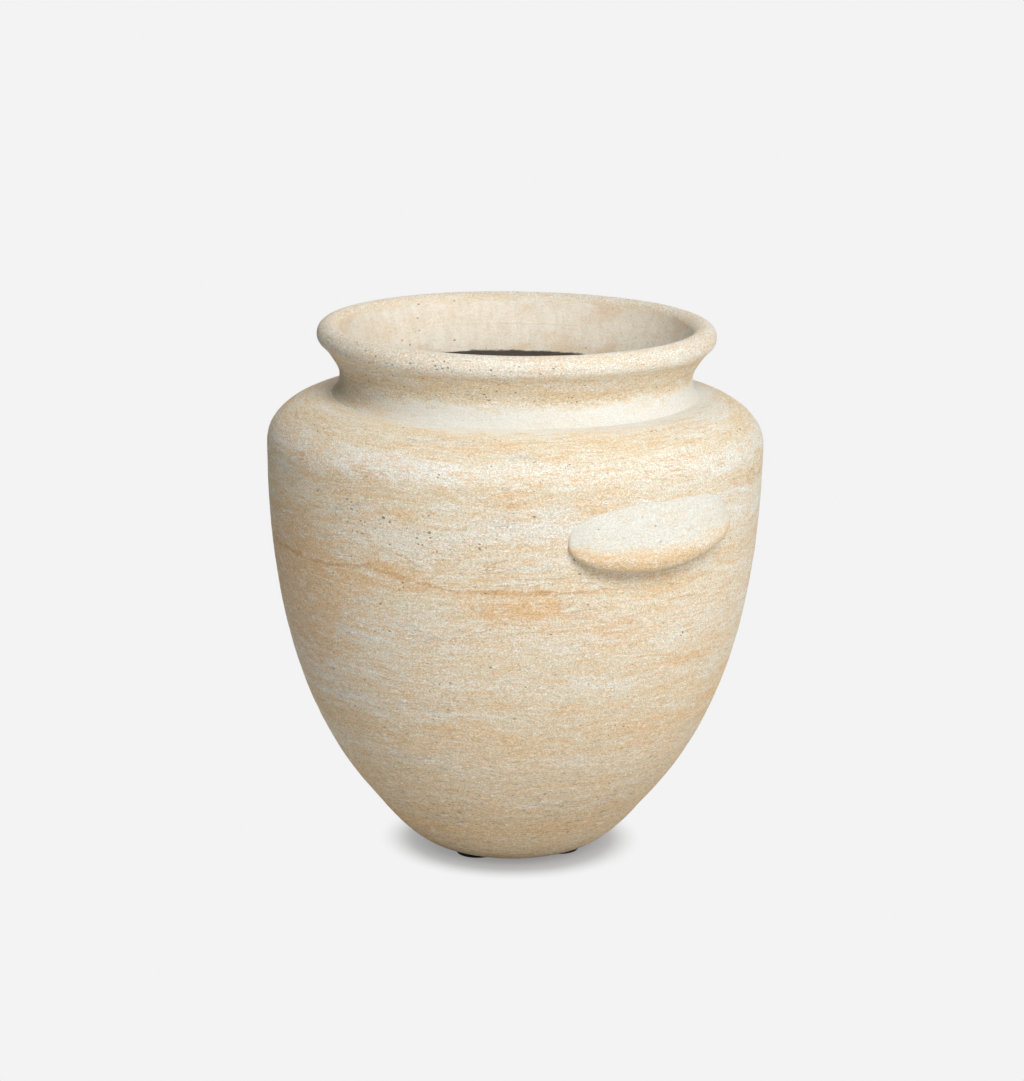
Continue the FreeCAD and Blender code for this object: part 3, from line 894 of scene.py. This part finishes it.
def neck_finish(f, at, colour):
    """The neck is browner above, the cove is pale with a painted highlight on it that weakens towards the
    shaded left, and the rim is pale.
    """
    waist, groove = length_at(WAIST[1]), length_at(GROOVE[1])
    brow = f.both(
        f.fade(at.rough_length, waist - 0.001, waist + 0.012),
        f.fade(at.rough_length, groove + 0.002, groove + 0.012, 1.0, 0.0),
    )
    colour = f.mix(f.math("MULTIPLY", brow, 0.20), colour, TAN)
    crease = length_at(CREASE[1] - 0.5)
    # Painted highlight: the cove is whitened over its own pale colour, fully from the front round to the
    # right and less towards the shaded left
    cove = f.both(
        f.fade(at.turn, math.radians(-65), math.radians(-25), 0.35, 1.0),
        f.fade(at.rough_length, crease - 0.022, crease + 0.006),
        f.fade(at.rough_length, waist - 0.006, waist + 0.006, 1.0, 0.0),
    )
    colour = f.mix(f.math("MULTIPLY", cove, 0.84), colour, COVE_HIGHLIGHT)
    rim = f.both(
        f.fade(at.rough_length, groove + 0.004, groove + 0.012),
        f.fade(at.length, RIM_END - 0.012, RIM_END, 1.0, 0.0),
    )
    return f.mix(f.math("MULTIPLY", rim, 0.55), colour, WHITE), brow, cove


def funnel_finish(f, at, colour):
    """The funnel has ochre clouds, faint upright brush streaks and a dark uneven edge at the throat."""
    brushed = f.noise(f.stretch(at.grain, (130, 130, 9)), 2.0, 0.5)
    clouds = f.noise(f.stretch(at.warped, (22, 22, 34)), 4.0, 0.6)
    smooth = f.mix(f.fade(brushed, 0.40, 0.62, 0.0, 0.35), THROAT_CREAM, CREAM)
    smooth = f.mix(f.fade(clouds, 0.48, 0.66, 0.0, 0.45), smooth, OCHRE)
    colour = f.mix(f.math("MULTIPLY", at.inside, 0.85), colour, smooth)
    edge = f.math("MULTIPLY_ADD", at.rag, 0.005, at.length)
    painted = f.math("MULTIPLY", f.fade(edge, THROAT_AT - 0.0065, THROAT_AT - 0.0045), at.on_jar)
    return colour, painted


def lug_finish(f, at, colour):
    """The lugs are nearly white on top, their own pale colour with a painted highlight where the top faces
    the light; ochre towards the lip, and tan towards and under the lip as painted shade.
    """
    down = f.math("MULTIPLY_ADD", at.rag, 0.02, f.math("SUBTRACT", LUG_GRAIN_TOP, at.length))
    lug = f.math("SUBTRACT", 1.0, at.on_jar)
    # Painted highlight: the top of each lug is whitened where it faces the light
    lug_top_highlight = f.both(lug, f.fade(down, 0.034, 0.058, 1.0, 0.0))
    colour = f.mix(f.math("MULTIPLY", lug_top_highlight, 0.80), colour, LUG_TOP_HIGHLIGHT)
    colour = f.mix(f.both(lug, f.band(down, 0.061, 0.024), 0.25), colour, OCHRE)
    # Painted shade: tan darkens the lug towards and under its lip
    colour = f.mix(f.both(lug, f.fade(down, 0.046, 0.066, 0.0, 0.50)), colour, TAN)
    return colour, lug_top_highlight


def stone_pores(f, at, pore, brow):
    """Pores of uneven size, crowded in a few places, darkened with painted shade."""
    push = f.add("TexNoise", {"Vector": at.grain, "Scale": 260.0, "Detail": 1.0}, 1)
    push = {0: push, 1: (0.0035, 0.0035, 0.0025), 2: at.grain}
    cells = f.stretch(f.add("VectorMath", push, operation="MULTIPLY_ADD"), (200, 200, 290))
    near = f.add("TexVoronoi", {"Vector": cells, "Scale": 1.0})
    chance = f.coordinate(f.add("TexVoronoi", {"Vector": cells, "Scale": 1.0}, 1), 0)
    crowd = f.fade(f.noise(f.stretch(at.grain, (20, 20, 55)), 2.0), 0.50, 0.70, 0.08, 0.34)
    for patch in PORE_PATCHES:
        crowd = f.math("MAXIMUM", crowd, at.patch(f, *patch))
    crowd = f.math("MAXIMUM", crowd, f.math("MULTIPLY", brow, 0.22))
    size = f.math("MULTIPLY", f.math("SUBTRACT", crowd, chance), 0.75)
    hole = f.both(f.fade(f.math("SUBTRACT", size, near), -0.12, 0.02), f.math("GREATER_THAN", size, 0.0))
    return f.math("MAXIMUM", hole, f.fade(pore, 0.25, 0.85))


def travertine():
    """Cream stone look: wavy ochre and white strata, fine streaks, crumbly patches, veins and pores, with
    painted shade in the pores and the lug lips and painted highlights on the cove and the lug tops.
    """
    f = Finish("travertine_clay")
    at = StonePlaces(f)
    colour = stone_ground(f, at)
    colour = stone_veins(f, at, colour)
    colour = long_vein(f, at, colour)
    colour, brow, cove = neck_finish(f, at, colour)
    colour, painted = funnel_finish(f, at, colour)
    colour, lug_top_highlight = lug_finish(f, at, colour)
    # Grain is thinned inside the funnel and under the painted highlights of the cove and the lug tops
    plain_and_highlit = f.math("MAXIMUM", f.math("MAXIMUM", at.inside, cove), f.math("MULTIPLY", lug_top_highlight, 0.6))
    colour, grain_height = stone_grain(f, at, colour, plain_and_highlit)
    hole = stone_pores(f, at, f.attribute("pore", 2), brow)
    # Painted shade: the pores are darkened as if shade lay in them
    colour = f.mix(f.math("MULTIPLY", hole, 0.72), colour, PORE_SHADE)
    colour = f.mix(f.math("MULTIPLY", painted, 0.93), colour, PAINT)
    f.shader.inputs["Specular IOR Level"].default_value = 0.25
    return f.dress(colour, 0.88, f.math("SUBTRACT", grain_height, hole), 0.45, 0.0007)


def dark_coating():
    """Brown-grey waterproof paint, brushed on matt, with thinner places and dust."""
    f = Finish("dark_coating")
    grain = f.attribute("grain", 1)
    cloud = f.noise(f.stretch(grain, (12, 12, 30)), 4.0, 0.6)
    brush = f.noise(f.stretch(grain, (60, 60, 900)), 2.0, 0.6)
    grit = f.noise(f.stretch(grain, (900, 900, 900)), 1.0)
    colour = f.mix(f.fade(cloud, 0.35, 0.70), (0.030, 0.025, 0.021, 1), (0.075, 0.062, 0.050, 1))
    colour = f.mix(f.fade(brush, 0.50, 0.75, 0.0, 0.6), colour, (0.12, 0.10, 0.082, 1))
    colour = f.mix(f.fade(grit, 0.62, 0.75, 0.0, 0.5), colour, (0.22, 0.185, 0.145, 1))
    height = f.math("MULTIPLY_ADD", brush, 0.6, f.math("MULTIPLY", grit, 0.4))
    return f.dress(colour, f.fade(cloud, 0.3, 0.7, 0.72, 0.92), height, 0.4, 0.0006)


def rubber(name, shade):
    """Matt black rubber, with moulding haze and specks of dust."""
    f = Finish(name)
    grain = f.attribute("grain", 1)
    haze = f.noise(f.stretch(grain, (90, 90, 90)), 3.0, 0.6)
    dust = f.noise(f.stretch(grain, (1500, 1500, 1500)), 1.0)
    black = (shade, shade, shade, 1)
    hazy = (shade * 2.0, shade * 1.95, shade * 1.9, 1)
    colour = f.mix(f.fade(haze, 0.35, 0.7), black, hazy)
    colour = f.mix(f.fade(dust, 0.63, 0.76, 0.0, 0.6), colour, (0.26, 0.24, 0.21, 1))
    return f.dress(colour, f.fade(haze, 0.3, 0.7, 0.55, 0.8), dust, 0.2, 0.0003)


# Camera, light and floor
def make_camera():
    camera = bpy.data.objects.new("camera", bpy.data.cameras.new("camera"))
    bpy.context.scene.collection.objects.link(camera)
    camera.data.sensor_width = 36
    camera.data.lens = CAMERA_LENS
    camera.data.clip_end = 50
    heading = CAMERA_AZIMUTH + CAMERA_TURN
    side = Vector((math.cos(heading), math.sin(heading), 0))
    level = Vector((-math.sin(heading), math.cos(heading), 0))
    forward = level * math.cos(CAMERA_PITCH) - Vector((0, 0, 1)) * math.sin(CAMERA_PITCH)
    above = side.cross(forward)
    right = side * math.cos(CAMERA_ROLL) + above * math.sin(CAMERA_ROLL)
    up = above * math.cos(CAMERA_ROLL) - side * math.sin(CAMERA_ROLL)
    toward_jar = Vector((-math.sin(CAMERA_AZIMUTH), math.cos(CAMERA_AZIMUTH), 0))
    place = -toward_jar * CAMERA_DISTANCE + Vector((0, 0, CAMERA_HEIGHT + PAD_THICKNESS * MM))
    turned = Matrix((right, up, -forward)).transposed().to_4x4()
    camera.matrix_world = Matrix.Translation(place) @ turned
    bpy.context.scene.camera = camera


# Soft lamps: name, degrees round from the camera to its right, degrees above the floor, watts
LAMPS = [
    ("key", 15, 35, 64),
    ("side_fill", 95, 15, 24),
    ("top_fill", -45, 75, 20),
    ("back_fill", 180, 30, 22),
]
LAMP_DISTANCE = 3.0
LAMP_SIZE = 1.4
LAMP_TARGET = Vector((0, 0, 0.3))
WORLD_LIGHT = 0.10


def make_lamp(name, azimuth, elevation, power):
    """A soft round lamp that faces the jar."""
    lamp = bpy.data.lights.new(name, "AREA")
    lamp.shape = "DISK"
    lamp.size = LAMP_SIZE
    lamp.energy = power
    made = bpy.data.objects.new(name, lamp)
    bpy.context.scene.collection.objects.link(made)
    turn = CAMERA_AZIMUTH + math.radians(azimuth)
    rise = math.radians(elevation)
    level = Vector((math.sin(turn), -math.cos(turn), 0))
    toward = level * math.cos(rise) + Vector((0, 0, math.sin(rise)))
    made.location = LAMP_TARGET + toward * LAMP_DISTANCE
    made.rotation_mode = "QUATERNION"
    made.rotation_quaternion = toward.to_track_quat("Z", "Y")


def make_lights():
    """The lamps, and a world that lights the jar dimly and shows the camera the backdrop."""
    for lamp in LAMPS:
        make_lamp(*lamp)
    world = bpy.data.worlds.new("studio")
    world.use_nodes = True
    nodes, links = world.node_tree.nodes, world.node_tree.links
    light = nodes["Background"]
    light.inputs["Color"].default_value = (1, 1, 1, 1)
    light.inputs["Strength"].default_value = WORLD_LIGHT
    seen = nodes.new("ShaderNodeBackground")
    seen.inputs["Color"].default_value = BACKDROP
    path = nodes.new("ShaderNodeLightPath")
    mix = nodes.new("ShaderNodeMixShader")
    links.new(path.outputs["Is Camera Ray"], mix.inputs["Fac"])
    links.new(light.outputs["Background"], mix.inputs[1])
    links.new(seen.outputs["Background"], mix.inputs[2])
    links.new(mix.outputs["Shader"], nodes["World Output"].inputs["Surface"])
    bpy.context.scene.world = world


# The floor: how far from the axis its shadow and its dim light under the foot fade, and their strengths
FLOOR_HALF = 6.0
FLOOR_ALBEDO = 0.80
SHADOW_REACH = (0.058, 0.138)
SHADOW_DEPTH = 0.45
CONTACT_REACH = 0.08
CONTACT_SHADE = 0.52
UNDER_REACH = (0.080, 0.095)
UNDER_LIGHT = 0.14


def floor_finish():
    """Pale, with the jar's shadow near the foot and the backdrop's colour further out."""
    f = Finish("pale_floor")
    f.shader.inputs["Roughness"].default_value = 1.0
    f.shader.inputs["Specular IOR Level"].default_value = 0.0
    place = f.add("NewGeometry", {}, 0)
    flat = f.add("VectorMath", {0: place, 1: (1, 1, 0)}, operation="MULTIPLY")
    distance = f.add("VectorMath", {0: flat}, 1, operation="LENGTH")
    far = f.fade(distance, *SHADOW_REACH)
    open_sky = f.add("AmbientOcclusion", {"Distance": CONTACT_REACH}, "AO", samples=16)
    contact = f.math("MAXIMUM", f.fade(open_sky, 0.05, 0.95, CONTACT_SHADE, 1.0), far)
    grey = (FLOOR_ALBEDO, FLOOR_ALBEDO, FLOOR_ALBEDO, 1)
    f.feed(f.shader.inputs["Base Color"], f.tint(1.0, grey, contact))
    glow = f.add("Emission", {"Color": f.tint(1.0, BACKDROP, contact)})
    seen = f.add("LightPath", {}, "Is Camera Ray")
    share = f.math("MULTIPLY", f.math("MULTIPLY_ADD", far, SHADOW_DEPTH, 1 - SHADOW_DEPTH), seen)
    mixed = f.add("MixShader", {0: share, 1: f.shader.outputs[0], 2: glow})
    # A little light on the underside of the foot, which is seen only through the floor from below
    under = f.both(f.fade(distance, *UNDER_REACH, 1.0, 0.0), f.math("SUBTRACT", 1.0, seen))
    dim = f.add("Emission", {"Strength": UNDER_LIGHT})
    mixed = f.add("MixShader", {0: under, 1: mixed, 2: dim})
    # The floor can be looked through from below
    below = f.add("NewGeometry", {}, "Backfacing")
    clear = f.add("BsdfTransparent", {})
    mixed = f.add("MixShader", {0: below, 1: mixed, 2: clear})
    f.feed(f.nodes["Material Output"].inputs["Surface"], mixed)
    return f.material


def make_floor():
    mesh = bpy.data.meshes.new("floor")
    corners = [(x * FLOOR_HALF, y * FLOOR_HALF, 0) for x, y in [(-1, -1), (1, -1), (1, 1), (-1, 1)]]
    mesh.from_pydata(corners, [], [(0, 1, 2, 3)])
    mesh.materials.append(floor_finish())
    floor = bpy.data.objects.new("floor", mesh)
    bpy.context.scene.collection.objects.link(floor)


def main():
    make_camera()
    make_lights()
    make_floor()
    clay = travertine()
    make_courses(clay)
    make_neck_and_rim(clay)
    make_lug("lug_right_clay", "lug_handle_right", clay, 0.0)
    make_lug("lug_left_clay", "lug_handle_left", clay, math.pi)
    make_coating(dark_coating())
    make_plug(rubber("plug_rubber", 0.018))
    make_pads(rubber("pad_rubber", 0.012))
    bpy.context.scene.view_settings.view_transform = "Standard"


main()
